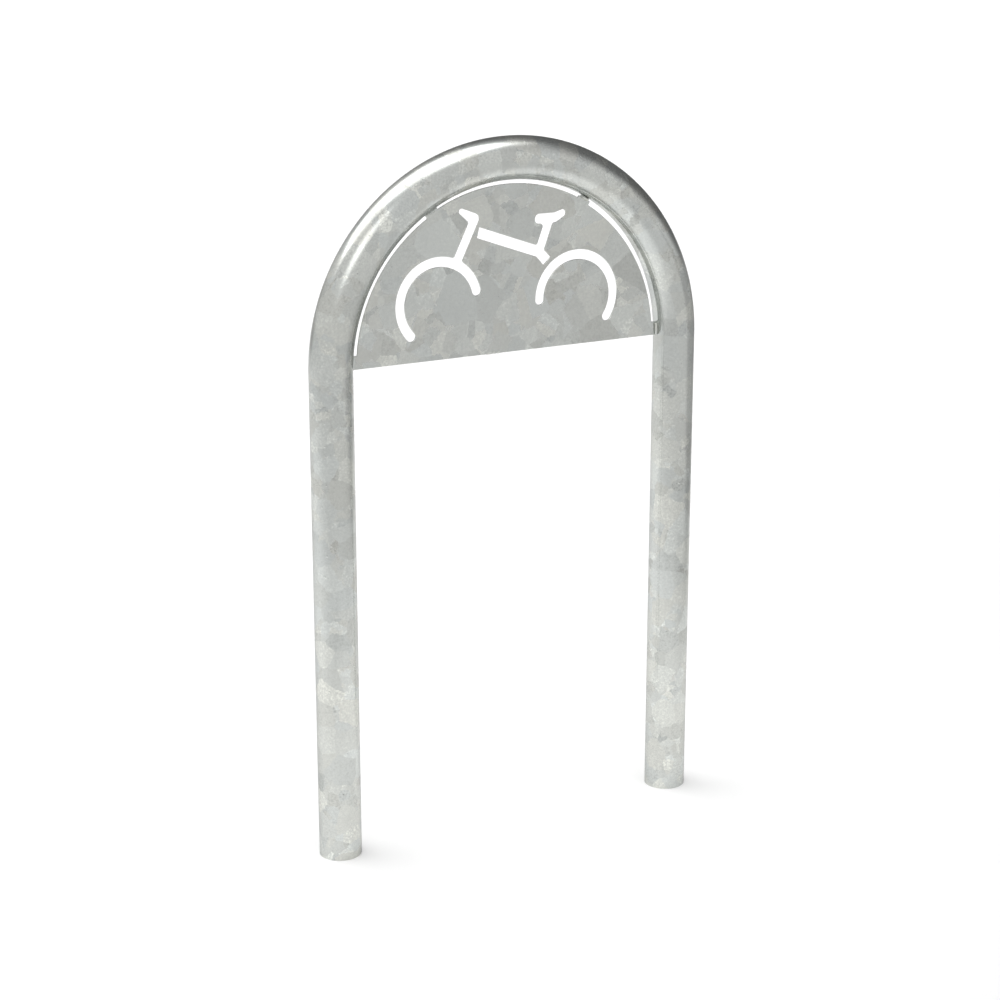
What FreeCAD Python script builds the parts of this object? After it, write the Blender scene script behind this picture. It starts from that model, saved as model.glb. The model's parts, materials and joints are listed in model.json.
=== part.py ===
# Hoop bike rack: one bent tube with a laser-cut half-round plate welded between its legs.
# Millimetres and degrees. +Z is up, +X runs along the hoop, and the origin is midway between the feet.
import FreeCAD, Part
import Sketcher
import math
import os

# Driving sizes: name, value, meaning
SIZES = [
    ("hoop_width", 600, "outside width of the hoop"),
    ("hoop_height", 1000, "foot to crown"),
    ("tube_diameter", 60, "outside diameter of the tube"),
    ("tube_wall", 2.5, "wall of the tube"),
    ("plate_thickness", 3, "thickness of the plate"),
    ("plate_gap", 8, "open slot between the plate's arc and the tube"),
    ("edge_rise", 0.2, "plate's straight edge above the start of the bend, clear of a sleeve on the leg"),
    ("end_tab_height", 19, "height of a tab at the end of the plate's straight edge"),
    ("upper_tab_width", 20, "length of an upper tab along the arc"),
    ("upper_tab_angle", 60, "middle of the right upper tab, up from the horizontal"),
    ("root_gap", 2.5, "space between an upper tab and the tube, filled by its weld"),
    ("weld_leg", 4, "reach of a weld across the plate and round the tube"),
    ("weld_roundness", 1.5, "radius of a weld's face, in legs"),
    ("weld_inset", 1, "end of a weld to the corner of an end tab"),
    ("stitch_inset", 4, "end of a weld to the corner of an upper tab"),
    ("figure_margin", 58.5, "wheel to the plate's arc, along the start of the bend"),
    ("wheel_base", 215, "axle to axle"),
    ("wheel_radius", 59, "middle of the wheel's cut"),
    ("cut_width", 14, "width of a cut line of the bicycle"),
    ("front_axle_height", 77, "front axle above the start of the bend"),
    ("rear_axle_height", 69, "rear axle above the start of the bend"),
    ("front_wheel_start", 14, "lower end of the front wheel's cut, behind the axle"),
    ("front_wheel_end", 223, "lower end of the front wheel's cut, ahead of the axle"),
    ("rear_wheel_start", -34, "lower end of the rear wheel's cut, behind the axle"),
    ("rear_wheel_end", 180, "lower end of the rear wheel's cut, ahead of the axle"),
    ("fork_angle", 64, "lean of the fork, from the horizontal"),
    ("fork_length", 125, "front axle to the round bend of the handlebar"),
    ("handlebar_radius", 8.2, "radius of that bend"),
    ("handlebar_angle", 148, "direction of the handlebar, from the horizontal"),
    ("handlebar_length", 22.5, "bend of the handlebar to the middle of its round tip"),
    ("handlebar_tip", 4, "radius of the handlebar's tip"),
    ("web_width", 5.5, "metal left between two cuts that nearly meet"),
    ("frame_cut_width", 15, "width of the frame bar's cut"),
    ("frame_slope", 20, "fall of the frame bar, from the horizontal"),
    ("crank_ahead", 60, "meeting point of frame bar and seat post, ahead of the rear axle"),
    ("crank_height", 67.5, "the same point above the rear axle"),
    ("post_length", 49, "meeting point to the middle of the saddle"),
    ("nose_length", 17, "seat post to the round of the saddle's nose"),
    ("seat_length", 8, "seat post to the kick of the saddle's tail"),
    ("tail_length", 12.5, "kick of the tail to the middle of its round end"),
    ("tail_angle", 24, "rise of the tail, from the horizontal"),
    ("tail_radius", 5.5, "round end of the tail"),
    ("corner_radius", 3.5, "round of the metal's points inside the bicycle's cuts"),
]

# Least volume that a cut has to take away, and what counts as no distance at all
LEAST_CUT = 0.5
FLAT = 1e-6

# Round every corner of the cut bicycle, the metal is looked for at this many places this far away
CORNER_LOOKS = 24
CORNER_REACH = 0.5

doc = FreeCAD.newDocument("HoopBikeRack")
sheet = doc.addObject("Spreadsheet::Sheet", "Sizes")
for row, (alias, value, meaning) in enumerate(SIZES, start=1):
    sheet.set(f"A{row}", meaning)
    sheet.set(f"B{row}", str(value))
    sheet.setAlias(f"B{row}", alias)
doc.recompute()

# Hoop: the bend's centre is the common origin of all pieces, raised by the straight leg
TUBE_RADIUS = "(Sizes.tube_diameter / 2)"
BORE_RADIUS = "(Sizes.tube_diameter / 2 - Sizes.tube_wall)"
BEND_RADIUS = "((Sizes.hoop_width - Sizes.tube_diameter) / 2)"
LEG_LENGTH = "(Sizes.hoop_height - Sizes.hoop_width / 2)"
INNER_RADIUS = f"({BEND_RADIUS} - {TUBE_RADIUS})"

# Plate: half the thickness to each side of the hoop's middle plane
HALF_PLATE = "(Sizes.plate_thickness / 2)"
PLATE_RADIUS = f"({INNER_RADIUS} - Sizes.plate_gap)"
TAB_REACH = f"({INNER_RADIUS} - Sizes.root_gap)"

# Bicycle figure: scaled as a whole to the plate, 1 at the sizes above
FIGURE_LENGTH = "(Sizes.wheel_base + 2 * Sizes.wheel_radius + Sizes.cut_width)"
SCALE = f"(2 * ({PLATE_RADIUS} - Sizes.figure_margin) / {FIGURE_LENGTH})"


def number(expression):
    """Value of an expression of the sizes, in millimetres or degrees."""
    value = sheet.evalExpression(str(expression))
    return float(getattr(value, "Value", value))


def scaled(expression):
    """A size of the figure, scaled with it."""
    return f"(({expression}) * {SCALE})"


def minus(expression):
    return f"(-({expression}))"


# Places in the figure
FRONT_AXLE = (scaled("-Sizes.wheel_base / 2"), scaled("Sizes.front_axle_height"))
REAR_AXLE = (scaled("Sizes.wheel_base / 2"), scaled("Sizes.rear_axle_height"))
CRANK = (
    scaled("Sizes.wheel_base / 2 - Sizes.crank_ahead"),
    scaled("Sizes.rear_axle_height + Sizes.crank_height"),
)
SADDLE = (
    f"({CRANK[0]} + {scaled('Sizes.post_length * sin(Sizes.frame_slope)')})",
    f"({CRANK[1]} + {scaled('Sizes.post_length * cos(Sizes.frame_slope)')})",
)
BEND_AHEAD = "(Sizes.handlebar_radius - Sizes.cut_width / 2)"
HANDLEBAR_ALONG = f"(Sizes.fork_length * cos(Sizes.fork_angle) - {BEND_AHEAD} * sin(Sizes.fork_angle))"
HANDLEBAR_UP = f"(Sizes.fork_length * sin(Sizes.fork_angle) + {BEND_AHEAD} * cos(Sizes.fork_angle))"
HANDLEBAR = (
    f"({FRONT_AXLE[0]} + {scaled(HANDLEBAR_ALONG)})",
    f"({FRONT_AXLE[1]} + {scaled(HANDLEBAR_UP)})",
)
CUT = scaled("Sizes.cut_width")
HALF_CUT = scaled("Sizes.cut_width / 2")
WHEEL = scaled("Sizes.wheel_radius")


def new_body(label, turn=0):
    """A piece in the hoop's own frame, turned about the vertical."""
    body = doc.addObject("PartDesign::Body", label)
    body.Label = label
    up = FreeCAD.Vector(0, 0, 1)
    body.Placement = FreeCAD.Placement(up * number(LEG_LENGTH), FreeCAD.Rotation(up, turn))
    body.setExpression("Placement.Base.z", LEG_LENGTH)
    return body


def new_sketch(body, name, role, at=("0", "0", "0"), turn=None, axis=(0, 0, 1)):
    """A sketch on an origin plane of its body, moved and turned in that plane's axes."""
    sketch = body.newObject("Sketcher::SketchObject", f"{body.Name}_{name}")
    plane = next(item for item in body.Origin.OriginFeatures if item.Role == role)
    sketch.AttachmentSupport = [(plane, "")]
    sketch.MapMode = "FlatFace"
    rotation = FreeCAD.Rotation(FreeCAD.Vector(*axis), number(turn) if turn else 0)
    place = FreeCAD.Vector(*(number(value) for value in at))
    sketch.AttachmentOffset = FreeCAD.Placement(place, rotation)
    for letter, value in zip("xyz", at):
        if value != "0":
            sketch.setExpression(f"AttachmentOffset.Base.{letter}", value)
    if turn:
        sketch.setExpression("AttachmentOffset.Rotation.Angle", turn)
    return sketch


def drive(sketch, kind, *target):
    """A dimension whose value, the last argument, is an expression of the sizes."""
    *places, expression = target
    index = sketch.addConstraint(Sketcher.Constraint(kind, *places, number(expression)))
    sketch.setExpression(f"Constraints[{index}]", str(expression))


def pin_point(sketch, piece, end, x, y):
    """Ties one point of the sketch to a place given from the sketch's origin."""
    for kind, value in (("DistanceX", x), ("DistanceY", y)):
        drive(sketch, kind, -1, 1, piece, end, value)


def join(sketch, *pairs, kind="Coincident"):
    """Joins line and arc ends: start is 1, end is 2, centre is 3."""
    for first, first_end, second, second_end in pairs:
        sketch.addConstraint(Sketcher.Constraint(kind, first, first_end, second, second_end))


def vector(x, y):
    return FreeCAD.Vector(x, y, 0)


def line(sketch, start, end):
    return sketch.addGeometry(Part.LineSegment(vector(*start), vector(*end)))


def arc(sketch, centre, radius, start, end):
    """Arc drawn anticlockwise between two angles in degrees."""
    circle = Part.Circle(vector(*centre), FreeCAD.Vector(0, 0, 1), radius)
    return sketch.addGeometry(Part.ArcOfCircle(circle, math.radians(start), math.radians(end)))


def polygon(sketch, points):
    """Closed straight-sided outline through points given as expressions."""
    values = [(number(x), number(y)) for x, y in points]
    for index, start in enumerate(values):
        line(sketch, start, values[(index + 1) % len(values)])
    for index, (x, y) in enumerate(points):
        join(sketch, (index, 1, index - 1 if index else len(points) - 1, 2))
        pin_point(sketch, index, 1, x, y)


def round_slot(sketch, start_x, length, start_radius, end_radius):
    """Outline along the sketch's X axis: two round ends and the tangents between them."""
    first, second = number(start_radius), number(end_radius)
    near, far = number(start_x), number(start_x) + number(length)
    lean = math.acos((first - second) / (far - near))
    spread = math.degrees(lean)
    arc(sketch, (near, 0), first, spread, 360 - spread)
    arc(sketch, (far, 0), second, -spread, spread)
    for side in (1, -1):
        begin = (near + first * math.cos(lean), side * first * math.sin(lean))
        finish = (far + second * math.cos(lean), side * second * math.sin(lean))
        line(sketch, begin, finish)
    join(sketch, (0, 1, 2, 1), (2, 2, 1, 2), (1, 1, 3, 2), (3, 1, 0, 2), kind="Tangent")
    pin_point(sketch, 0, 3, start_x, "0")
    pin_point(sketch, 1, 3, f"({start_x} + {length})", "0")
    drive(sketch, "Radius", 0, start_radius)
    drive(sketch, "Radius", 1, end_radius)


def ring_slot(sketch, radius, width, start, end):
    """Outline of a round-ended slot that runs round the sketch's origin."""
    middle, half = number(radius), number(width) / 2
    first, last = number(start), number(end)
    arc(sketch, (0, 0), middle + half, first, last)
    arc(sketch, (0, 0), middle - half, first, last)
    for turn, opening in ((first, first - 180), (last, last)):
        place = [middle * wave(math.radians(turn)) for wave in (math.cos, math.sin)]
        arc(sketch, place, half, opening, opening + 180)
    join(sketch, (0, 3, -1, 1), (1, 3, -1, 1))
    join(sketch, (0, 1, 2, 2), (2, 1, 1, 1), (0, 2, 3, 1), (3, 2, 1, 2), kind="Tangent")
    drive(sketch, "Radius", 0, f"({radius} + {width} / 2)")
    drive(sketch, "Radius", 1, f"({radius} - {width} / 2)")
    drive(sketch, "DistanceY", -1, 1, 2, 3, f"({radius} * sin({start}))")
    drive(sketch, "DistanceY", -1, 1, 3, 3, f"({radius} * sin({end}))")


def add_feature(body, kind, profile, **settings):
    """A feature on a sketch; settings that are expressions are bound, the others are set."""
    feature = body.newObject(f"PartDesign::{kind}", f"{profile.Name}_{kind.lower()}")
    feature.Profile = profile
    for name, value in settings.items():
        if name in ("Length", "Angle"):
            feature.setExpression(name, value)
        else:
            setattr(feature, name, value)
    profile.Visibility = False
    return feature


def cut_through(body, profile):
    """Pocket through the whole plate; it has to take metal away."""
    before = body.Shape.Volume
    add_feature(body, "Pocket", profile, Type="ThroughAll", SideType="Symmetric")
    doc.recompute()
    if body.Shape.Volume > before - LEAST_CUT:
        raise RuntimeError(f"{profile.Name} cuts nothing")


def hoop_path(body):
    """Centre line of the bent tube: leg, half circle, leg."""
    bend, leg = number(BEND_RADIUS), number(LEG_LENGTH)
    path = new_sketch(body, "path", "XZ_Plane")
    line(path, (-bend, -leg), (-bend, 0))
    arc(path, (0, 0), bend, 0, 180)
    line(path, (bend, 0), (bend, -leg))
    join(path, (1, 3, -1, 1))
    join(path, (0, 2, 1, 2), (1, 1, 2, 1), kind="Tangent")
    pin_point(path, 0, 1, minus(BEND_RADIUS), minus(LEG_LENGTH))
    drive(path, "DistanceY", -1, 1, 2, 2, minus(LEG_LENGTH))
    for leg_line in (0, 2):
        path.addConstraint(Sketcher.Constraint("Vertical", leg_line))
    return path


def sweep_round(body, kind, radii):
    """Sweeps concentric circles, drawn at the left foot, along the hoop."""
    foot = new_sketch(body, "section", "XY_Plane", at=("0", "0", minus(LEG_LENGTH)))
    for index, radius in enumerate(radii):
        centre = vector(-number(BEND_RADIUS), 0)
        foot.addGeometry(Part.Circle(centre, FreeCAD.Vector(0, 0, 1), number(radius)))
        pin_point(foot, index, 3, minus(BEND_RADIUS), "0")
        drive(foot, "Radius", index, radius)
    path = hoop_path(body)
    edges = ["Edge1", "Edge2", "Edge3"]
    return add_feature(body, kind, foot, Spine=(path, edges))


def make_hoop_tube():
    """The bent tube, open at both feet."""
    body = new_body("hoop_tube")
    sweep_round(body, "AdditivePipe", (TUBE_RADIUS, BORE_RADIUS))
    return body


def pad_plate(body, profile):
    add_feature(body, "Pad", profile, Length="Sizes.plate_thickness", SideType="Symmetric")


def plate_blank(body):
    """Half disc whose straight edge lies just above the start of the bend."""
    radius, rise = number(PLATE_RADIUS), number("Sizes.edge_rise")
    start = math.degrees(math.asin(rise / radius))
    half = math.sqrt(radius ** 2 - rise ** 2)
    outline = new_sketch(body, "blank", "XZ_Plane")
    arc(outline, (0, 0), radius, start, 180 - start)
    line(outline, (-half, rise), (half, rise))
    join(outline, (0, 3, -1, 1), (0, 2, 1, 1), (1, 2, 0, 1))
    drive(outline, "Radius", 0, PLATE_RADIUS)
    drive(outline, "DistanceY", -1, 1, 1, 1, "Sizes.edge_rise")
    outline.addConstraint(Sketcher.Constraint("Horizontal", 1))
    pad_plate(body, outline)


def end_tab(body, name, side):
    """Tab from the plate's straight end into the tube, trimmed later by the tube's outline."""
    root = f"({side} * ({PLATE_RADIUS} - Sizes.plate_gap))"
    reach = f"({side} * ({INNER_RADIUS} + {TUBE_RADIUS} / 4))"
    low, high = "Sizes.edge_rise", "(Sizes.edge_rise + Sizes.end_tab_height)"
    outline = new_sketch(body, name, "XZ_Plane")
    polygon(outline, [(root, low), (reach, low), (reach, high), (root, high)])
    pad_plate(body, outline)


def upper_tab(body, name, turn):
    """Tab on the plate's arc, ended by an arc that stops short of the tube."""
    reach, half = number(TAB_REACH), number("Sizes.upper_tab_width / 2")
    root = number(f"{PLATE_RADIUS} - Sizes.plate_gap")
    swing = math.degrees(math.asin(half / reach))
    edge = math.sqrt(reach ** 2 - half ** 2)
    outline = new_sketch(body, name, "XZ_Plane", turn=turn)
    arc(outline, (0, 0), reach, -swing, swing)
    line(outline, (edge, half), (root, half))
    line(outline, (root, half), (root, -half))
    line(outline, (root, -half), (edge, -half))
    join(outline, (0, 3, -1, 1), (0, 2, 1, 1), (1, 2, 2, 1), (2, 2, 3, 1), (3, 2, 0, 1))
    drive(outline, "Radius", 0, TAB_REACH)
    pin_point(outline, 1, 2, f"({PLATE_RADIUS} - Sizes.plate_gap)", "(Sizes.upper_tab_width / 2)")
    drive(outline, "DistanceY", 2, 2, 2, 1, "Sizes.upper_tab_width")
    outline.addConstraint(Sketcher.Constraint("Vertical", 2))
    for level in (1, 3):
        outline.addConstraint(Sketcher.Constraint("Horizontal", level))
    pad_plate(body, outline)


def wheel_cut(body, name, axle, start, end):
    outline = new_sketch(body, name, "XZ_Plane", at=(*axle, "0"))
    ring_slot(outline, WHEEL, CUT, start, end)
    cut_through(body, outline)


def slot_cut(body, name, place, turn, start, length, start_radius=HALF_CUT, end_radius=HALF_CUT):
    """Round-ended cut that starts at a place of the figure and runs in a given direction."""
    outline = new_sketch(body, name, "XZ_Plane", at=(*place, "0"), turn=turn)
    round_slot(outline, start, length, start_radius, end_radius)
    cut_through(body, outline)


def frame_bar_cut(body):
    """Bar from the crank to a web's width behind the fork, with its end parallel to the fork."""
    lean = "(180 - Sizes.frame_slope - Sizes.fork_angle)"
    across = (
        f"(({CRANK[0]} - {FRONT_AXLE[0]}) * sin(Sizes.fork_angle)"
        f" - ({CRANK[1]} - {FRONT_AXLE[1]}) * cos(Sizes.fork_angle))"
    )
    reach = f"(({across} - {HALF_CUT} - {scaled('Sizes.web_width')}) / sin({lean}))"
    half = scaled("Sizes.frame_cut_width / 2")
    skew = f"({half} / tan({lean}))"
    turn = "(180 - Sizes.frame_slope)"
    outline = new_sketch(body, "frame_bar", "XZ_Plane", at=(*CRANK, "0"), turn=turn)
    polygon(outline, [
        ("0", minus(half)),
        (f"({reach} - {skew})", minus(half)),
        (f"({reach} + {skew})", half),
        ("0", half),
    ])
    cut_through(body, outline)


def chain_stay_cut(body):
    """Short bar from the crank towards the rear axle, ended a web's width off the wheel."""
    ahead, above = scaled("Sizes.crank_ahead"), scaled("Sizes.crank_height")
    turn = f"(-atan2({above}; {ahead}))"
    rim = f"({WHEEL} + {HALF_CUT} + {scaled('Sizes.web_width')})"
    reach = f"(sqrt({ahead} ^ 2 + {above} ^ 2) - {rim})"
    half = scaled("Sizes.frame_cut_width / 2")
    outline = new_sketch(body, "chain_stay", "XZ_Plane", at=(*CRANK, "0"), turn=turn)
    polygon(outline, [("0", minus(half)), (reach, minus(half)), (reach, half), ("0", half)])
    cut_through(body, outline)


def bicycle_cuts(body):
    """The bicycle, facing left, cut stroke by stroke."""
    wheel_cut(body, "front_wheel", FRONT_AXLE, "Sizes.front_wheel_start", "Sizes.front_wheel_end")
    wheel_cut(body, "rear_wheel", REAR_AXLE, "Sizes.rear_wheel_start", "Sizes.rear_wheel_end")
    fork = f"({scaled('Sizes.fork_length')} - {WHEEL})"
    slot_cut(body, "fork", FRONT_AXLE, "Sizes.fork_angle", WHEEL, fork)
    bend, tip = scaled("Sizes.handlebar_radius"), scaled("Sizes.handlebar_tip")
    reach = scaled("Sizes.handlebar_length")
    slot_cut(body, "handlebar", HANDLEBAR, "Sizes.handlebar_angle", "0", reach, bend, tip)
    frame_bar_cut(body)
    chain_stay_cut(body)
    post = scaled("Sizes.post_length")
    slot_cut(body, "seat_post", CRANK, "(90 - Sizes.frame_slope)", "0", post)
    nose, seat = scaled("Sizes.nose_length"), scaled("Sizes.seat_length")
    slot_cut(body, "saddle", SADDLE, None, minus(nose), f"({nose} + {seat})")
    kick = (f"({SADDLE[0]} + {seat})", SADDLE[1])
    tail, end_radius = scaled("Sizes.tail_length"), scaled("Sizes.tail_radius")
    slot_cut(body, "tail", kick, "Sizes.tail_angle", "0", tail, end_radius=end_radius)


def runs_through_plate(edge, thickness):
    """True for a straight edge that crosses the plate from face to face."""
    ends = [vertex.Point for vertex in edge.Vertexes]
    if len(ends) != 2:
        return False
    span = ends[1] - ends[0]
    return abs(abs(span.y) - thickness) < FLAT and math.hypot(span.x, span.z) < FLAT


def is_metal_point(front, corner):
    """True where the metal fills clearly less than half of the space round a corner."""
    inside = 0
    for look in range(CORNER_LOOKS):
        turn = 2 * math.pi * (look + 0.5) / CORNER_LOOKS
        step = FreeCAD.Vector(math.cos(turn), 0, math.sin(turn)) * CORNER_REACH
        inside += front.isInside(corner + step, FLAT, False)
    return inside < CORNER_LOOKS / 2 - 2


def round_metal_points(body):
    """Rounds the metal's points between two strokes of the bicycle."""
    thickness, limit = number("Sizes.plate_thickness"), number(f"{PLATE_RADIUS} - Sizes.plate_gap")
    cut_plate = body.Tip
    front = min(cut_plate.Shape.Faces, key=lambda face: face.CenterOfMass.y)
    names = []
    for index, edge in enumerate(cut_plate.Shape.Edges, start=1):
        if not runs_through_plate(edge, thickness):
            continue
        corner = min((vertex.Point for vertex in edge.Vertexes), key=lambda point: point.y)
        in_figure = math.hypot(corner.x, corner.z) < limit and corner.z > 0
        if in_figure and is_metal_point(front, corner):
            names.append(f"Edge{index}")
    rounds = body.newObject("PartDesign::Fillet", "metal_points")
    rounds.Base = (cut_plate, names)
    rounds.setExpression("Radius", scaled("Sizes.corner_radius"))


def make_pictogram_plate():
    """Half-round plate with four tabs and the bicycle cut out."""
    body = new_body("pictogram_plate")
    plate_blank(body)
    end_tab(body, "right_tab", 1)
    end_tab(body, "left_tab", -1)
    upper_tab(body, "upper_right_tab", "Sizes.upper_tab_angle")
    upper_tab(body, "upper_left_tab", "(180 - Sizes.upper_tab_angle)")
    doc.recompute()
    sweep_round(body, "SubtractivePipe", (TUBE_RADIUS,))
    doc.recompute()
    bicycle_cuts(body)
    round_metal_points(body)
    return body


def tube_side(depth):
    """Distance of the tube's inner side from the bend's centre, at a depth off the middle plane."""
    return f"({BEND_RADIUS} - sqrt({TUBE_RADIUS} ^ 2 - {depth} ^ 2))"


def bulge(sketch, first, second):
    """Face of a weld between its two toes, bulging away from the joint's corner."""
    radius = number("Sizes.weld_leg * Sizes.weld_roundness")
    chord = vector(second[0] - first[0], second[1] - first[1])
    back = math.sqrt(radius ** 2 - (chord.Length / 2) ** 2)
    side = vector(-chord.y, chord.x) * (back / chord.Length)
    centre = vector(*first) + chord * 0.5 + side
    angles = [math.degrees(math.atan2(y - centre.y, x - centre.x)) for x, y in (first, second)]
    if angles[1] < angles[0]:
        angles[1] += 360
    piece = arc(sketch, (centre.x, centre.y), radius, *angles)
    drive(sketch, "Radius", piece, "Sizes.weld_leg * Sizes.weld_roundness")
    return piece


def tube_arc(sketch, start_depth, end_depth):
    """Part of the tube's own circle, between two depths off the middle plane."""
    bend, radius = number(BEND_RADIUS), number(TUBE_RADIUS)
    first, last = (math.degrees(math.asin(number(depth) / radius)) for depth in (start_depth, end_depth))
    piece = arc(sketch, (bend, 0), radius, 180 - first, 180 - last)
    pin_point(sketch, piece, 3, BEND_RADIUS, "0")
    drive(sketch, "Radius", piece, TUBE_RADIUS)
    return piece


def revolve_weld(body, profile, run):
    """Turns a weld's profile about the hoop's cross axis, half of its run to each side."""
    angle = f"({run} / {INNER_RADIUS} * 180 / pi)"
    axis = (profile, ["V_Axis"])
    add_feature(body, "Revolution", profile, ReferenceAxis=axis, Angle=angle, Midplane=True)


WELD_DEPTH = f"({HALF_PLATE} + Sizes.weld_leg)"
END_WELD_RUN = "(Sizes.end_tab_height - 2 * Sizes.weld_inset)"
STITCH_RUN = "(Sizes.upper_tab_width - 2 * Sizes.stitch_inset)"
END_WELD_ANGLE = f"((Sizes.edge_rise + Sizes.end_tab_height / 2) / {INNER_RADIUS} * 180 / pi)"


def make_end_weld(label, angle, turn):
    """Fillet weld in the corner between one face of an end tab and the tube."""
    body = new_body(label, turn)
    profile = new_sketch(body, "profile", "XY_Plane", turn=angle, axis=(0, -1, 0))
    seat, toe = number(tube_side(HALF_PLATE)), number(tube_side(WELD_DEPTH))
    face, depth, leg = number(HALF_PLATE), number(WELD_DEPTH), number("Sizes.weld_leg")
    line(profile, (seat - leg, -face), (seat, -face))
    tube_arc(profile, minus(HALF_PLATE), minus(WELD_DEPTH))
    bulge(profile, (seat - leg, -face), (toe, -depth))
    join(profile, (0, 1, 2, 1), (0, 2, 1, 1), (1, 2, 2, 2))
    drive(profile, "DistanceX", 0, 1, 0, 2, "Sizes.weld_leg")
    drive(profile, "DistanceY", -1, 1, 0, 1, minus(HALF_PLATE))
    drive(profile, "DistanceY", -1, 1, 1, 2, minus(WELD_DEPTH))
    profile.addConstraint(Sketcher.Constraint("Horizontal", 0))
    revolve_weld(body, profile, END_WELD_RUN)
    return body


def make_stitch_weld(label, angle):
    """Through weld that fills the gap at an upper tab, with a bead on each face."""
    body = new_body(label)
    profile = new_sketch(body, "profile", "XY_Plane", turn=angle, axis=(0, -1, 0))
    reach, toe = number(TAB_REACH), number(tube_side(WELD_DEPTH))
    face, depth, gap = number(HALF_PLATE), number(WELD_DEPTH), number("Sizes.root_gap")
    line(profile, (reach, -face), (reach, face))
    line(profile, (reach, face), (reach - gap, face))
    line(profile, (reach - gap, -face), (reach, -face))
    tube_arc(profile, WELD_DEPTH, minus(WELD_DEPTH))
    bulge(profile, (reach - gap, -face), (toe, -depth))
    bulge(profile, (toe, depth), (reach - gap, face))
    join(profile, (0, 2, 1, 1), (0, 1, 2, 2), (2, 1, 4, 1), (4, 2, 3, 2), (3, 1, 5, 1), (5, 2, 1, 2))
    pin_point(profile, 0, 1, TAB_REACH, minus(HALF_PLATE))
    drive(profile, "DistanceY", -1, 1, 0, 2, HALF_PLATE)
    drive(profile, "DistanceY", -1, 1, 3, 1, WELD_DEPTH)
    drive(profile, "DistanceY", -1, 1, 3, 2, minus(WELD_DEPTH))
    drive(profile, "DistanceX", 1, 2, 1, 1, "Sizes.root_gap")
    drive(profile, "DistanceX", 2, 1, 2, 2, "Sizes.root_gap")
    profile.addConstraint(Sketcher.Constraint("Vertical", 0))
    for level in (1, 2):
        profile.addConstraint(Sketcher.Constraint("Horizontal", level))
    revolve_weld(body, profile, STITCH_RUN)
    return body


def check_model(bodies):
    """Stops if a feature failed or a piece isn't one valid solid."""
    for item in doc.Objects:
        if "Invalid" in item.State or "Error" in item.State:
            raise RuntimeError(f"{item.Name} failed: {item.State}")
    for body in bodies:
        shape = body.Shape
        if shape.isNull() or not shape.isValid() or len(shape.Solids) != 1:
            raise RuntimeError(f"{body.Label} isn't one valid solid")


MIRRORED_END = f"(180 - {END_WELD_ANGLE})"
bodies = [
    make_hoop_tube(),
    make_pictogram_plate(),
    make_end_weld("weld_right_front", END_WELD_ANGLE, 0),
    make_end_weld("weld_left_front", MIRRORED_END, 0),
    make_end_weld("weld_right_back", MIRRORED_END, 180),
    make_end_weld("weld_left_back", END_WELD_ANGLE, 180),
    make_stitch_weld("weld_upper_right", "Sizes.upper_tab_angle"),
    make_stitch_weld("weld_upper_left", "(180 - Sizes.upper_tab_angle)"),
]
doc.recompute()
check_model(bodies)

os.makedirs("parts", exist_ok=True)
for body in bodies:
    body.Shape.exportStep(f"parts/{body.Label}.step")
    print(body.Label, round(body.Shape.Volume, 1), "mm3")
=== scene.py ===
import json
import math
import bmesh
import bpy
from mathutils import Matrix, Vector


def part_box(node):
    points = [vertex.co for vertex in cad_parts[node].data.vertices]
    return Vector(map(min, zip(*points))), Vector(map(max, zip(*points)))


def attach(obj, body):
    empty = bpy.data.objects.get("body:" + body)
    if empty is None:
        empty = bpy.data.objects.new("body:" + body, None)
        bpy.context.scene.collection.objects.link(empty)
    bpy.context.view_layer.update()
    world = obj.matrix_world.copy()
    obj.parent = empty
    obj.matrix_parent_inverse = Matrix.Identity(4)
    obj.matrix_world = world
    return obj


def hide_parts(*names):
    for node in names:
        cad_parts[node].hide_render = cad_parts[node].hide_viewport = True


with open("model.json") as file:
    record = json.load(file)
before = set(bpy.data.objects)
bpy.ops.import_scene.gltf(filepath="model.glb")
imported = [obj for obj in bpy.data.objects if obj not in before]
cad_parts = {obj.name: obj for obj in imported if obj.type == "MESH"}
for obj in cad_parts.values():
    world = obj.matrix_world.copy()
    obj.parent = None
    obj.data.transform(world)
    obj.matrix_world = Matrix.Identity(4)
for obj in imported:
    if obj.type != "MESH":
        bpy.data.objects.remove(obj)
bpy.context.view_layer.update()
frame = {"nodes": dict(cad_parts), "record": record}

# Metres and degrees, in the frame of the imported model: +Z up, +X along the hoop, -Y towards the viewer
MM = 0.001
SAME_PLACE = 0.001 * MM

# Hoop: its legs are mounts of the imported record, and the bend starts at the top of a leg
LEG = next(mount for mount in frame["record"]["mounts"] if mount["name"] == "left_leg")
TUBE_RADIUS = LEG["dims"]["r_mm"] * MM
BEND_HEIGHT = LEG["dims"]["length_mm"] * MM
BEND_RADIUS = abs(LEG["pos_m"][0])
BEND_CENTRE = Vector((0, 0, BEND_HEIGHT))
TUBE_WALL = 2.5 * MM
TUBE_SIDES = 96
LEG_STEPS = 46
BEND_STEPS = 128
RIM_ROUND = 0.5 * MM

# Weld seam that runs along the whole tube
SEAM_ANGLE = 28
SEAM_HEIGHT = 0.25 * MM
SEAM_CUTS = 3

# Unevenness of the zinc, drawn inwards from the true surface
ZINC_WAVE = 0.12 * MM
ZINC_WAVE_LENGTH = 45 * MM

# Plate: round that the zinc leaves on its cut edges, and the slot between its arc and the tube, which is
# narrower between the upper tabs, up to an angle from the crown
CUT_EDGE_ROUND = 0.45 * MM
SLOT_WIDTH = 8 * MM
CROWN_SLOT_WIDTH = 5.4 * MM
CROWN_ANGLE = 28
NEAR_ARC = 0.1 * MM

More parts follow.
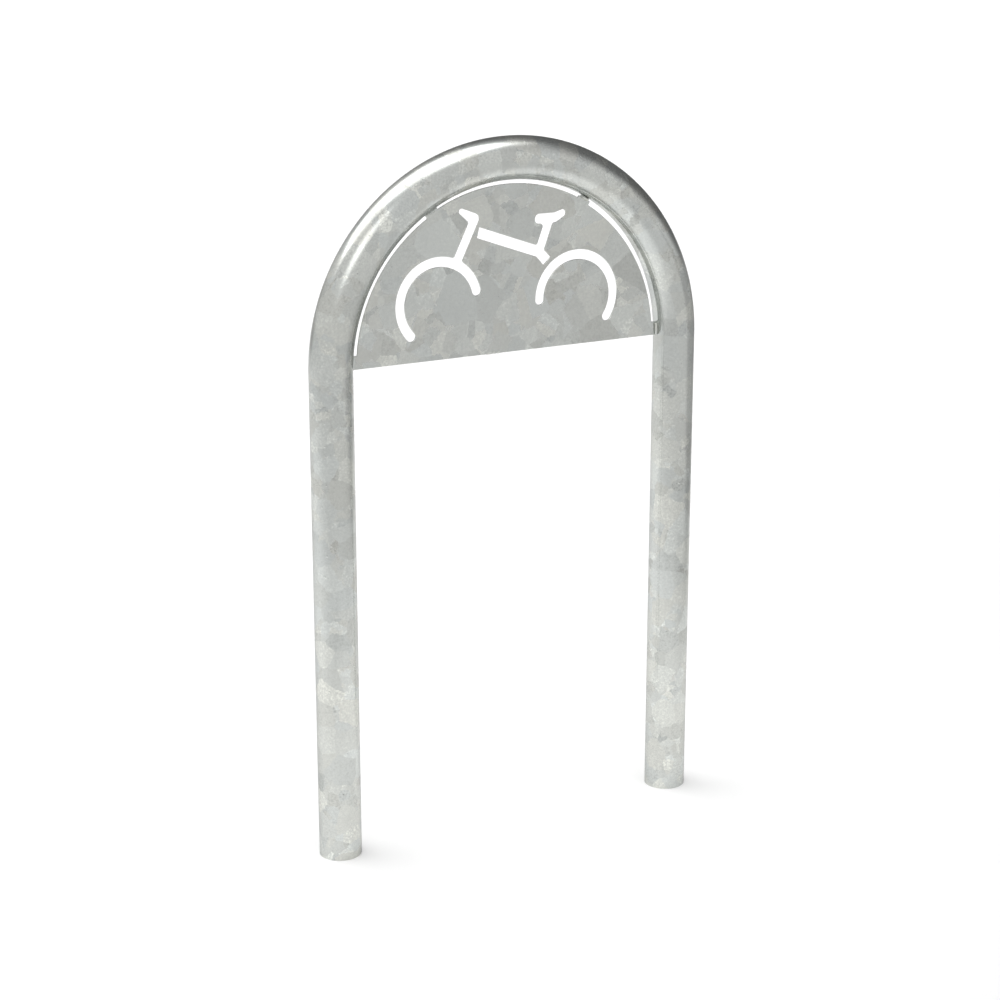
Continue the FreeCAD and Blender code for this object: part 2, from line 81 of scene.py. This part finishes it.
# Lumps of zinc that froze on the front of the plate, along its lower edge: place along the hoop, half of the
# width, height, and how far the top, over a share of the height, leans to one side
PLATE_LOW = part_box("pictogram_plate")[0]
LUMPS = (
    (-31 * MM, 4.4 * MM, 3 * MM, 1 * MM),
    (-23 * MM, 2.2 * MM, 3.8 * MM, -0.3 * MM),
    (-16.5 * MM, 3 * MM, 2.6 * MM, 0.5 * MM),
)
LUMP_DEPTH = 1.6 * MM
LUMP_TOP = 0.6
LUMP_ROUND = 0.2 * MM
LUMP_SIDES = 20
LUMP_RINGS = 12

# Weld beads: a ripple every so far, how much a bead narrows between two ripples, and the share of its width
# that its first and last two rings have, from the end inwards
WELDS = ("weld_left_front", "weld_left_back", "weld_right_front", "weld_right_back",
         "weld_upper_left", "weld_upper_right")
RIPPLE_LENGTH = 1.9 * MM
RIPPLE_STEPS = 4
RIPPLE_WAIST = 0.9
FEWEST_RIPPLES = 3
BEAD_ENDS = (0.5, 0.85)
BEAD_SIDES = 16
NEAR_RING = 0.4

# How far two faces turn at their common edge: an edge that turns more than sharp is rounded, one that turns
# less than smooth is shaded smooth, and one that turns less than flat is dissolved
SHARP_TURN = 60
PLATE_SHARP_TURN = 50
SMOOTH_TURN = 40
PLATE_SMOOTH_TURN = 15
BEAD_SMOOTH_TURN = 50
FLAT_TURN = 0.2

# Zinc crystals: their size on each piece, how far their edges fray, and how many fern arms one has. Those
# whose chance is over a limit are broken into crystals that are so many times smaller.
TUBE_CRYSTAL = 32 * MM
PLATE_CRYSTAL = 48 * MM
WELD_CRYSTAL = 12 * MM
FRAY = 6 * MM
FERN_ARMS = 6
BROKEN_OVER = 0.6
CRYSTAL_BREAK = 2.3

# Zinc: dull, usual and shining crystals, as the chance from which each sort starts and its brightness
RARE_CRYSTALS = ((0, 0), (0.07, 0.5), (0.93, 1))

# Zinc: size of its clouds and of its frosted grain, and how strong the grain is on the smoothest crystals
# and on the most frosted ones
CLOUD = 70 * MM
GRAIN = 3.2 * MM
GRAIN_DEPTH_MM = 0.07
SMOOTH_GRAIN = 0.6
FROSTED_GRAIN = 1.4

# Zinc: its shade adds up from a start and these shares of its patterns
SHADE_START = -0.1
CRYSTAL_SHARE = 0.5
RARE_SHARE = 0.25
FERN_SHARE = 0.16
CLOUD_SHARE = 0.3

# Zinc: one dark speck or raised pimple, or neither, to each field of this size, by the chance of the field.
# A speck is fully dark over a share of its size.
FIELD = 14 * MM
PIMPLED_UNDER = 0.3
SPECKLED_OVER = 0.72
SPECK = 0.8 * MM
SPECK_CORE = 0.3
PIMPLE = 1.6 * MM
PIMPLE_HEIGHT_MM = 0.35

# Zinc: the tints between which its crystals lie, the colour of its specks and of its edges, seen at a low
# angle, and how much rougher its dullest crystals are than its smoothest
COOL_TINT = "#FBFEFF"
WARM_TINT = "#FFFFFC"
ASH = "#7C7D7A"
EDGE_TINT = "#D8D8D8"
SHEEN_RANGE = 0.1

# Studio: brightness of the room and its patches, where 1 is white, and their reach at a distance of 1
ROOM_LIGHT = 0.76
DARK_SIDE = {"azimuth": 118, "elevation": 25, "edge": 1.2, "core": 0.55, "flat": 1.6}
DARK_SIDE_LIGHT = 0.19
LONG_LAMP = {"azimuth": -135, "elevation": 74, "half_length": 1, "half_width": 0.43, "softness": 0.1}
LONG_LAMP_LIGHT = 2.2
SMALL_LAMP = {"azimuth": -41, "elevation": 33, "edge": 0.3, "core": 0.14, "flat": 1}
SMALL_LAMP_LIGHT = 2.1
LEAST_DEPTH = 0.01

# Floor: white paper round the hoop and behind it, with painted shade further out. Each other side of the
# paper faces an azimuth, and its painted grey shade starts at one distance from the hoop and is full at
# another. On the right the painted shade ends in a darker grey.
PAPER_SIDES = ((50, 0.47, 1.35), (-28, 0.2, 1.9), (-106, 0.9, 4.5))
DARKER_SHADE_SIDE = (130, 0.4, 1.2)
PAPER_WHITE = "#F6F6F6"
PAINTED_SHADE_GREY = "#D4D4D4"
DARKER_PAINTED_SHADE = "#B2B2B2"
PAPER_LIFT = 0.1
FLOOR_RADIUS = 40
FLOOR_SIDES = 64

# View of the photograph
CAMERA_TARGET = Vector((-0.0134, 0, 0.4869))
CAMERA_AZIMUTH = -27.912
CAMERA_ELEVATION = 16.508
CAMERA_DISTANCE = 3.3041
CAMERA_LENS = 84.127


def direction(azimuth, elevation):
    """Unit vector towards an azimuth, counted from the front (-Y) towards +X, and an elevation."""
    around, up = math.radians(azimuth), math.radians(elevation)
    return Vector((math.sin(around) * math.cos(up), -math.cos(around) * math.cos(up), math.sin(up)))


def colour(code):
    """Linear colour of an sRGB hex code."""
    parts = [int(code[i:i + 2], 16) / 255 for i in (1, 3, 5)]
    return (*(c / 12.92 if c <= 0.04045 else ((c + 0.055) / 1.055) ** 2.4 for c in parts), 1)


def grey(light):
    """Linear grey of a brightness, where 1 is white."""
    return (light, light, light, 1)


def node(tree, kind, inputs=None, **settings):
    """Adds a node with its settings, and sets or links its inputs, given by name or by place."""
    made = tree.nodes.new(kind)
    for name, value in settings.items():
        setattr(made, name, value)
    used = [socket for socket in made.inputs if socket.enabled]
    for name, value in (inputs or {}).items():
        socket = used[name] if isinstance(name, int) else next(s for s in used if s.name == name)
        if isinstance(value, bpy.types.NodeSocket):
            tree.links.new(value, socket)
        else:
            socket.default_value = value
    return made


def deselect():
    for item in bpy.context.selected_objects:
        item.select_set(False)


def select_only(piece):
    """Only this piece is selected, and it is the active one."""
    deselect()
    piece.select_set(True)
    bpy.context.view_layer.objects.active = piece


def edit(piece):
    """Only this piece, in edit mode."""
    select_only(piece)
    bpy.ops.object.mode_set(mode="EDIT")


def leave_edit():
    bpy.ops.object.mode_set(mode="OBJECT")


def pick(piece, kind, test):
    """Selects the vertices, edges or faces of a piece in edit mode that pass the test."""
    bpy.ops.mesh.select_mode(type={"verts": "VERT", "edges": "EDGE", "faces": "FACE"}[kind])
    bpy.ops.mesh.select_all(action="DESELECT")
    mesh = bmesh.from_edit_mesh(piece.data)
    for item in getattr(mesh, kind):
        item.select_set(bool(test(item)))
    mesh.select_flush_mode()
    bmesh.update_edit_mesh(piece.data)


def close_skin():
    """Merges the doubles of the mesh in edit mode and turns its faces outwards."""
    bpy.ops.mesh.select_all(action="SELECT")
    bpy.ops.mesh.remove_doubles(threshold=SAME_PLACE)
    bpy.ops.mesh.normals_make_consistent(inside=False)


def place_in_mesh(piece):
    """Moves a piece's place, turn and scale into its mesh."""
    select_only(piece)
    bpy.ops.object.transform_apply(location=True, rotation=True, scale=True)


def finish_with(piece, kind, **settings):
    """Adds a modifier and applies it."""
    bpy.context.view_layer.objects.active = piece
    modifier = piece.modifiers.new(kind.title(), kind)
    for name, value in settings.items():
        setattr(modifier, name, value)
    bpy.ops.object.modifier_apply(modifier=modifier.name)


def round_edges(piece, width, segments, turn):
    """Rounds the edges of a piece at which two faces turn by more than so many degrees."""
    finish_with(piece, "BEVEL", width=width, segments=segments, limit_method="ANGLE",
                angle_limit=math.radians(turn))


def shade_smooth(turn):
    """The selected piece looks smooth at each edge that turns by less than so many degrees."""
    bpy.ops.object.shade_smooth_by_angle(angle=math.radians(turn))


def dress(piece, material, slot, *nodes):
    """Gives a piece its material, hangs it on the root body, and hides the nodes that it stands for."""
    piece.data.materials.clear()
    piece.data.materials.append(material)
    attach(piece, "root")
    if nodes:
        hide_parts(*nodes)


def section_angle(point):
    """Angle round a ring of the left leg, from the side that faces the other leg towards the front."""
    return math.degrees(math.atan2(-point.y, point.x + BEND_RADIUS))


def bend_angle(point):
    """Angle of a point round the bend, from the left leg over the crown."""
    return math.degrees(math.atan2(point.z - BEND_HEIGHT, -point.x))


def bend_reach(point):
    """Distance of a point from the bend's axis."""
    return math.hypot(point.x, point.z - BEND_HEIGHT)


def bend_point(angle, reach, side):
    """Point at an angle round the bend, so far from its axis and so far to the back of the plate's middle."""
    point = Matrix.Rotation(math.radians(angle), 3, "Y") @ Vector((-reach, 0, 0)) + BEND_CENTRE
    point.y = side
    return point


def raise_seam(piece):
    """A low ridge at one place of the tube's first ring."""
    side = 360 / TUBE_SIDES
    middle = (math.floor(SEAM_ANGLE / side) + 0.5) * side

    def near(point, reach):
        return abs(section_angle(point) - middle) < reach * side

    # Both ends of the seam's side are half a side from its middle
    pick(piece, "edges", lambda edge: all(near(vert.co, 0.6) for vert in edge.verts))
    bpy.ops.mesh.subdivide(number_cuts=SEAM_CUTS)

    # Of the new points, only the middle one is raised
    pick(piece, "verts", lambda vert: near(vert.co, 0.1))
    outwards = Vector((math.cos(math.radians(middle)), -math.sin(math.radians(middle)), 0))
    bpy.ops.transform.translate(value=outwards * SEAM_HEIGHT)


def extrude_leg(step):
    """The selected ring is drawn out over the length of a leg."""
    for _ in range(LEG_STEPS):
        bpy.ops.mesh.extrude_region_move(TRANSFORM_OT_translate={"value": (0, 0, step)})


def model_hoop():
    """A seamed tube: up one leg, round the bend and down the other."""
    deselect()
    bpy.ops.mesh.primitive_circle_add(vertices=TUBE_SIDES, radius=TUBE_RADIUS,
                                      location=(-BEND_RADIUS, 0, 0))
    hoop = bpy.context.object
    hoop.name = "bent_tube"
    place_in_mesh(hoop)
    edit(hoop)
    raise_seam(hoop)
    bpy.ops.mesh.select_all(action="SELECT")
    step = BEND_HEIGHT / LEG_STEPS
    extrude_leg(step)
    bpy.ops.mesh.spin(steps=BEND_STEPS, angle=-math.pi, center=BEND_CENTRE, axis=(0, 1, 0))
    extrude_leg(-step)
    close_skin()
    leave_edit()
    wave = bpy.data.textures.new("zinc_wave", "CLOUDS")
    wave.noise_scale = ZINC_WAVE_LENGTH
    finish_with(hoop, "DISPLACE", texture=wave, texture_coords="LOCAL", strength=ZINC_WAVE,
                mid_level=1)
    finish_with(hoop, "SOLIDIFY", thickness=TUBE_WALL, offset=-1, use_even_offset=True)
    round_edges(hoop, RIM_ROUND, 3, SHARP_TURN)
    shade_smooth(SMOOTH_TURN)
    return hoop


def raise_crown(plate):
    """Between the upper tabs the plate's arc stands further out."""
    arc = BEND_RADIUS - TUBE_RADIUS - SLOT_WIDTH

    def on_crown(vert):
        return abs(bend_reach(vert.co) - arc) < NEAR_ARC and abs(bend_angle(vert.co) - 90) < CROWN_ANGLE

    pick(plate, "verts", on_crown)
    share = 1 + (SLOT_WIDTH - CROWN_SLOT_WIDTH) / arc
    bpy.ops.transform.resize(value=(share, 1, share), center_override=BEND_CENTRE)


def model_plate():
    """The cut plate with the round that the zinc leaves on every edge."""
    deselect()
    plate = frame["nodes"]["pictogram_plate"].copy()
    plate.data = plate.data.copy()
    plate.parent = None

    # The copy is a piece of its own, so it loses the marks of the node
    for key in list(plate.keys()):
        del plate[key]
    plate.name = "bicycle_sign_plate"
    bpy.context.scene.collection.objects.link(plate)
    edit(plate)
    bpy.ops.mesh.select_all(action="SELECT")
    bpy.ops.mesh.remove_doubles(threshold=SAME_PLACE)
    bpy.ops.mesh.dissolve_limited(angle_limit=math.radians(FLAT_TURN))
    raise_crown(plate)
    leave_edit()
    round_edges(plate, CUT_EDGE_ROUND, 2, PLATE_SHARP_TURN)
    shade_smooth(PLATE_SMOOTH_TURN)
    return plate


def model_lump(along, half_width, height, lean):
    """The upper half of a ball, stretched and leaned to one side, on the lower edge of the plate's front."""
    foot = Vector((along, PLATE_LOW[1], PLATE_LOW[2]))
    deselect()
    bpy.ops.mesh.primitive_uv_sphere_add(segments=LUMP_SIDES, ring_count=LUMP_RINGS, radius=height,
                                         location=foot)
    lump = bpy.context.object
    place_in_mesh(lump)
    edit(lump)
    bpy.ops.mesh.select_all(action="SELECT")
    bpy.ops.mesh.bisect(plane_co=foot, plane_no=(0, 0, 1), use_fill=True, clear_inner=True)
    bpy.ops.mesh.select_all(action="SELECT")
    bpy.ops.transform.resize(value=(half_width / height, LUMP_DEPTH / height, 1), center_override=foot)
    pick(lump, "verts", lambda vert: vert.co.z > foot.z + height * LUMP_TOP)
    bpy.ops.transform.translate(value=(lean, 0, 0))
    leave_edit()
    round_edges(lump, LUMP_ROUND, 2, SHARP_TURN)
    return lump


def model_lumps():
    """All the lumps of zinc, as one piece."""
    lumps = [model_lump(*lump) for lump in LUMPS]
    select_only(lumps[0])
    for lump in lumps[1:]:
        lump.select_set(True)
    bpy.ops.object.join()
    lumps[0].name = "zinc_lumps"
    shade_smooth(SMOOTH_TURN)
    return lumps[0]


def model_bead(name):
    """A rippled weld bead along the bend, as long and as wide as the node that it stands for."""
    corners = [vert.co for vert in frame["nodes"][name].data.vertices]
    angles = [bend_angle(point) for point in corners]
    reaches = [bend_reach(point) for point in corners]
    sides = [point.y for point in corners]
    start, end = min(angles), max(angles)
    reach = (min(reaches) + max(reaches)) / 2
    middle = (min(sides) + max(sides)) / 2
    half_reach = (max(reaches) - min(reaches)) / 2
    half_side = (max(sides) - min(sides)) / 2

    # One section, swept round the bend from the start to the end
    deselect()
    bpy.ops.mesh.primitive_circle_add(vertices=BEAD_SIDES, radius=half_side, fill_type="NGON")
    bead = bpy.context.object
    bead.name = f"{name}_bead"
    bead.scale.x = half_reach / half_side
    bead.rotation_euler.y = math.radians(start)
    bead.location = bend_point(start, reach, middle)
    place_in_mesh(bead)
    edit(bead)
    bpy.ops.mesh.select_all(action="SELECT")
    length = math.radians(end - start) * reach
    steps = max(FEWEST_RIPPLES, round(length / RIPPLE_LENGTH)) * RIPPLE_STEPS
    bpy.ops.mesh.spin(steps=steps, angle=-math.radians(end - start), center=BEND_CENTRE,
                      axis=(0, 1, 0))
    close_skin()

    # Each ring then gets its own size
    step = (end - start) / steps
    for ring in range(steps + 1):
        share = RIPPLE_WAIST if ring % RIPPLE_STEPS == 0 else 1
        from_end = min(ring, steps - ring)
        if from_end < len(BEAD_ENDS):
            share = BEAD_ENDS[from_end]
        angle = start + ring * step
        pick(bead, "verts", lambda vert: abs(bend_angle(vert.co) - angle) < step * NEAR_RING)
        bpy.ops.transform.resize(value=(share, share, share),
                                 center_override=bend_point(angle, reach, middle))
    leave_edit()
    shade_smooth(BEAD_SMOOTH_TURN)
    return bead


def crystals(tree, place, size):
    """Crystals of zinc with frayed edges. Gives the frayed place, the middle of the crystal there, and three
    chances of that crystal, as its red, green and blue."""
    torn = node(tree, "ShaderNodeTexNoise",
                {"Vector": place, "Scale": 1 / FRAY, "Detail": 3}).outputs["Color"]
    away = node(tree, "ShaderNodeVectorMath", {0: torn, 1: (0.5, 0.5, 0.5)}, operation="SUBTRACT").outputs[0]
    away = node(tree, "ShaderNodeVectorMath", {0: away, "Scale": FRAY}, operation="SCALE").outputs[0]
    frayed = node(tree, "ShaderNodeVectorMath", {0: place, 1: away}, operation="ADD").outputs[0]

    # Large crystals, and some of them broken into small ones
    large = node(tree, "ShaderNodeTexVoronoi", {"Vector": frayed, "Scale": 1 / size}).outputs
    small = node(tree, "ShaderNodeTexVoronoi", {"Vector": frayed, "Scale": CRYSTAL_BREAK / size}).outputs
    broken = node(tree, "ShaderNodeSeparateColor", {"Color": large["Color"]}).outputs["Green"]
    broken = node(tree, "ShaderNodeMath", {0: broken, 1: BROKEN_OVER}, operation="GREATER_THAN").outputs[0]
    chance = node(tree, "ShaderNodeMix", {"Factor": broken, "A": large["Color"], "B": small["Color"]},
                  data_type="RGBA").outputs[2]
    middle = node(tree, "ShaderNodeMix", {"Factor": broken, "A": large["Position"], "B": small["Position"]},
                  data_type="VECTOR").outputs[1]
    return frayed, middle, node(tree, "ShaderNodeSeparateColor", {"Color": chance}).outputs


def rare_crystals(tree, chance):
    """Brightness of a crystal by its chance: a few shine, and a few are dull."""
    sorts = node(tree, "ShaderNodeValToRGB", {"Fac": chance})
    sorts.color_ramp.interpolation = "CONSTANT"

    # A ramp starts with two stops
    for _ in RARE_CRYSTALS[2:]:
        sorts.color_ramp.elements.new(0.5)
    for stop, (position, light) in zip(sorts.color_ramp.elements, RARE_CRYSTALS):
        stop.position = position
        stop.color = grey(light)
    return sorts.outputs["Color"]


def fern_arms(tree, frayed, middle):
    """Fern arms that grew from the middle of each crystal."""
    arm = node(tree, "ShaderNodeVectorMath", {0: frayed, 1: middle}, operation="SUBTRACT").outputs[0]
    arm = node(tree, "ShaderNodeVectorMath", {0: arm}, operation="NORMALIZE").outputs[0]
    return node(tree, "ShaderNodeTexNoise", {"Vector": arm, "Scale": FERN_ARMS, "Detail": 2}).outputs["Fac"]


def frosted_grain(tree, place, chance):
    """Grain of the frozen zinc about 0, stronger on frosted crystals than on smooth ones."""
    grain = node(tree, "ShaderNodeTexNoise",
                 {"Vector": place, "Scale": 1 / GRAIN, "Detail": 4, "Roughness": 0.7}).outputs["Fac"]
    grain = node(tree, "ShaderNodeMath", {0: grain, 1: 0.5}, operation="SUBTRACT").outputs[0]
    frosted = node(tree, "ShaderNodeMapRange", {"Value": chance, "To Min": SMOOTH_GRAIN,
                                                "To Max": FROSTED_GRAIN}).outputs[0]
    return node(tree, "ShaderNodeMath", {0: grain, 1: frosted}, operation="MULTIPLY").outputs[0]


def spots(tree, place):
    """Specks of ash in some fields, and pimples of zinc in others: how far a place lies in one of each."""
    field = node(tree, "ShaderNodeTexVoronoi", {"Vector": place, "Scale": 1 / FIELD}).outputs
    chance = node(tree, "ShaderNodeSeparateColor", {"Color": field["Color"]}).outputs["Red"]
    speck = node(tree, "ShaderNodeMapRange", {"Value": field["Distance"], "From Min": SPECK / FIELD,
                                              "From Max": SPECK_CORE * SPECK / FIELD}).outputs[0]
    pimple = node(tree, "ShaderNodeMapRange", {"Value": field["Distance"], "From Min": PIMPLE / FIELD,
                                               "From Max": 0}, interpolation_type="SMOOTHSTEP").outputs[0]
    speckled = node(tree, "ShaderNodeMath", {0: chance, 1: SPECKLED_OVER},
                    operation="GREATER_THAN").outputs[0]
    pimpled = node(tree, "ShaderNodeMath", {0: chance, 1: PIMPLED_UNDER},
                   operation="LESS_THAN").outputs[0]
    speck = node(tree, "ShaderNodeMath", {0: speck, 1: speckled}, operation="MULTIPLY").outputs[0]
    pimple = node(tree, "ShaderNodeMath", {0: pimple, 1: pimpled}, operation="MULTIPLY").outputs[0]
    return speck, pimple


def galvanised_steel(name, crystal, shades, polish, frost=1, metallic=1):
    """Steel dipped in molten zinc, which froze on it in crystals: grey patches with frayed straight edges,
    each with its own grey and sheen, under a fine frost with a few dark specks and pimples."""
    material = bpy.data.materials.new(name)
    material.use_nodes = True
    tree = material.node_tree
    surface = tree.nodes["Principled BSDF"]
    surface.inputs["Metallic"].default_value = metallic
    surface.inputs["Specular Tint"].default_value = colour(EDGE_TINT)
    place = node(tree, "ShaderNodeTexCoord").outputs["Object"]
    frayed, middle, chance = crystals(tree, place, crystal)
    rare = rare_crystals(tree, chance["Green"])
    ferns = fern_arms(tree, frayed, middle)
    clouds = node(tree, "ShaderNodeTexNoise",
                  {"Vector": place, "Scale": 1 / CLOUD, "Detail": 2}).outputs["Fac"]
    grain = frosted_grain(tree, place, chance["Green"])
    speck, pimple = spots(tree, place)

    # Grey of each place, slightly cool or warm by its crystal, and dark in a speck
    shade = SHADE_START
    for part, share in ((chance["Red"], CRYSTAL_SHARE), (rare, RARE_SHARE), (ferns, FERN_SHARE),
                        (clouds, CLOUD_SHARE), (grain, frost)):
        shade = node(tree, "ShaderNodeMath", {0: part, 1: share, 2: shade},
                     operation="MULTIPLY_ADD").outputs[0]
    ramp = node(tree, "ShaderNodeValToRGB", {"Fac": shade})
    for _ in shades[2:]:
        ramp.color_ramp.elements.new(0.5)
    for stop, (position, code) in zip(ramp.color_ramp.elements, shades):
        stop.position = position
        stop.color = colour(code)
    tint = node(tree, "ShaderNodeValToRGB", {"Fac": chance["Blue"]})
    for stop, code in zip(tint.color_ramp.elements, (COOL_TINT, WARM_TINT)):
        stop.color = colour(code)
    tinted = node(tree, "ShaderNodeMix",
                  {"Factor": 1, "A": ramp.outputs["Color"], "B": tint.outputs["Color"]},
                  data_type="RGBA", blend_type="MULTIPLY").outputs[2]
    spotted = node(tree, "ShaderNodeMix", {"Factor": speck, "A": tinted, "B": colour(ASH)},
                   data_type="RGBA").outputs[2]
    tree.links.new(spotted, surface.inputs["Base Color"])

    # Sheen of each crystal
    sheen = node(tree, "ShaderNodeMapRange", {"Value": chance["Blue"], "To Min": polish,
                                              "To Max": polish + SHEEN_RANGE})
    tree.links.new(sheen.outputs[0], surface.inputs["Roughness"])

    # Relief, in millimetres
    height = node(tree, "ShaderNodeMath", {0: grain, 1: GRAIN_DEPTH_MM}, operation="MULTIPLY").outputs[0]
    height = node(tree, "ShaderNodeMath", {0: pimple, 1: PIMPLE_HEIGHT_MM, 2: height},
                  operation="MULTIPLY_ADD").outputs[0]
    relief = node(tree, "ShaderNodeBump", {"Height": height, "Distance": MM})
    tree.links.new(relief.outputs[0], surface.inputs["Normal"])
    return material


def tube_zinc():
    """Zinc on the bent tube: crystals of middle size under a strong frost, so that it shines softly."""
    shades = ((0, "#AFB0AD"), (0.3, "#C7C8C5"), (0.55, "#CFD0CD"), (0.75, "#D8D9D5"), (0.95, "#ECEDE8"))
    return galvanised_steel("zinc_on_bent_tube", TUBE_CRYSTAL, shades, polish=0.18, frost=1.4)


def plate_zinc():
    """Zinc on the flat plate: large crystals that show as clear grey patches."""
    shades = ((0, "#B0B1AE"), (0.3, "#C6C7C4"), (0.55, "#CFD0CD"), (0.75, "#D7D8D4"), (0.95, "#EAEBE6"))
    return galvanised_steel("zinc_on_cut_plate", PLATE_CRYSTAL, shades, polish=0.22)


def weld_zinc():
    """Zinc on weld metal and in lumps: small crystals on a rough skin, so that it looks pale and dull."""
    shades = ((0, "#C8C9C6"), (0.5, "#D8D9D5"), (0.95, "#E4E5E0"))
    return galvanised_steel("zinc_on_weld_metal", WELD_CRYSTAL, shades, polish=0.45, metallic=0.6)


def paper_within(tree, place, azimuth, start, full):
    """How far a place on the paper lies within one of its sides: 1 up to the start, and 0 past the full."""
    reach = node(tree, "ShaderNodeVectorMath", {0: place, 1: direction(azimuth, 0)},
                 operation="DOT_PRODUCT").outputs["Value"]
    return node(tree, "ShaderNodeMapRange", {"Value": reach, "From Min": full, "From Max": start},
                interpolation_type="SMOOTHSTEP").outputs[0]


def white_paper():
    """Paper roll, white and matt: it throws light back evenly and shows no gloss. Further out on some sides
    it is painted grey, as shade.
    """
    paper = bpy.data.materials.new("white_paper")
    paper.use_nodes = True
    tree = paper.node_tree
    surface = tree.nodes["Principled BSDF"]
    surface.inputs["Roughness"].default_value = 0.9
    surface.inputs["Specular IOR Level"].default_value = 0
    surface.inputs["Emission Color"].default_value = colour("#FFFFFF")

    # White round and behind the hoop, and painted shade further out on the other sides: pale grey, and a
    # darker grey on the right
    place = node(tree, "ShaderNodeTexCoord").outputs["Object"]
    white = 1
    for side in PAPER_SIDES:
        white = node(tree, "ShaderNodeMath", {0: paper_within(tree, place, *side), 1: white},
                     operation="MULTIPLY").outputs[0]
    painted_shade = node(tree, "ShaderNodeMix", {"Factor": paper_within(tree, place, *DARKER_SHADE_SIDE),
                                         "A": colour(DARKER_PAINTED_SHADE), "B": colour(PAINTED_SHADE_GREY)},
                 data_type="RGBA").outputs[2]
    paint = node(tree, "ShaderNodeMix", {"Factor": white, "A": painted_shade, "B": colour(PAPER_WHITE)},
                 data_type="RGBA").outputs[2]
    tree.links.new(paint, surface.inputs["Base Color"])

    # What the camera and the metal see of the white part is lifted to full white
    ray = node(tree, "ShaderNodeLightPath").outputs
    seen = node(tree, "ShaderNodeMath", {0: ray["Is Camera Ray"], 1: ray["Is Glossy Ray"]},
                operation="MAXIMUM").outputs[0]
    seen = node(tree, "ShaderNodeMath", {0: seen, 1: ray["Is Transmission Ray"]},
                operation="MAXIMUM").outputs[0]
    lift = node(tree, "ShaderNodeMath", {0: white, 1: PAPER_LIFT}, operation="MULTIPLY").outputs[0]
    lift = node(tree, "ShaderNodeMath", {0: seen, 1: lift}, operation="MULTIPLY").outputs[0]
    tree.links.new(lift, surface.inputs["Emission Strength"])
    return paper


def pale_floor():
    """A wide floor of white paper that keeps the soft shadow."""
    deselect()
    bpy.ops.mesh.primitive_circle_add(vertices=FLOOR_SIDES, radius=FLOOR_RADIUS, fill_type="NGON")
    floor = bpy.context.object
    floor.name = "floor"
    floor.data.materials.append(white_paper())


def round_patch(tree, ray, azimuth, elevation, edge, core, flat):
    """How far a ray points into a round patch of the room, from its faint edge to its full core. A patch
    may be flat: so many times less high than wide."""
    away = node(tree, "ShaderNodeVectorMath", {0: ray, 1: direction(azimuth, elevation)},
                operation="SUBTRACT").outputs[0]
    away = node(tree, "ShaderNodeVectorMath", {0: away, 1: (1, 1, flat)}, operation="MULTIPLY").outputs[0]
    apart = node(tree, "ShaderNodeVectorMath", {0: away}, operation="LENGTH").outputs["Value"]
    return node(tree, "ShaderNodeMapRange", {"Value": apart, "From Min": edge, "From Max": core},
                interpolation_type="SMOOTHSTEP").outputs[0]


def long_patch(tree, ray, azimuth, elevation, half_length, half_width, softness):
    """How far a ray points into a long lamp that lies along one azimuth."""
    aim = direction(azimuth, elevation)
    along = direction(azimuth, elevation - 90)
    turn = Matrix((along, aim.cross(along), aim)).transposed().to_euler()
    turned = node(tree, "ShaderNodeMapping", {"Vector": ray, "Rotation": turn,
                                              "Scale": (half_length, half_width, 1)}, vector_type="TEXTURE")

    # A ray that points away from the lamp is given a little depth, and so passes far beside it
    depth = node(tree, "ShaderNodeSeparateXYZ", {"Vector": turned.outputs[0]}).outputs["Z"]
    depth = node(tree, "ShaderNodeMath", {0: depth, 1: LEAST_DEPTH}, operation="MAXIMUM").outputs[0]
    place = node(tree, "ShaderNodeVectorMath", {0: turned.outputs[0], 1: depth},
                 operation="DIVIDE").outputs[0]
    place = node(tree, "ShaderNodeVectorMath", {0: place}, operation="ABSOLUTE").outputs[0]
    place = node(tree, "ShaderNodeSeparateXYZ", {"Vector": place}).outputs
    reach = node(tree, "ShaderNodeMath", {0: place["X"], 1: place["Y"]}, operation="MAXIMUM").outputs[0]
    return node(tree, "ShaderNodeMapRange", {"Value": reach, "From Min": 1 + softness,
                                             "From Max": 1 - softness},
                interpolation_type="SMOOTHSTEP").outputs[0]


def studio_light():
    """Even pale light from all round, darker on the right, with a long lamp overhead and a small one."""
    world = bpy.data.worlds.new("studio")
    bpy.context.scene.world = world
    world.use_nodes = True
    tree = world.node_tree
    ray = node(tree, "ShaderNodeTexCoord").outputs["Generated"]
    light = grey(ROOM_LIGHT)
    for patch, strength in (
        (round_patch(tree, ray, **DARK_SIDE), DARK_SIDE_LIGHT),
        (long_patch(tree, ray, **LONG_LAMP), LONG_LAMP_LIGHT),
        (round_patch(tree, ray, **SMALL_LAMP), SMALL_LAMP_LIGHT),
    ):
        light = node(tree, "ShaderNodeMix", {"Factor": patch, "A": light, "B": grey(strength)},
                     data_type="RGBA").outputs[2]
    tree.links.new(light, tree.nodes["Background"].inputs["Color"])


def camera():
    """The view of the photograph."""
    lens = bpy.data.cameras.new("camera")
    lens.lens = CAMERA_LENS
    holder = bpy.data.objects.new("camera", lens)
    bpy.context.scene.collection.objects.link(holder)
    back = direction(CAMERA_AZIMUTH, CAMERA_ELEVATION)
    holder.location = CAMERA_TARGET + back * CAMERA_DISTANCE
    holder.rotation_euler = (-back).to_track_quat("-Z", "Y").to_euler()
    bpy.context.scene.camera = holder


dress(model_hoop(), tube_zinc(), "galvanised_tube", "hoop_tube")
dress(model_plate(), plate_zinc(), "galvanised_plate", "pictogram_plate")
bead_finish = weld_zinc()
dress(model_lumps(), bead_finish, "galvanised_plate")
for weld in WELDS:
    dress(model_bead(weld), bead_finish, "galvanised_weld", weld)

pale_floor()
studio_light()
camera()
bpy.context.scene.view_settings.view_transform = "Standard"
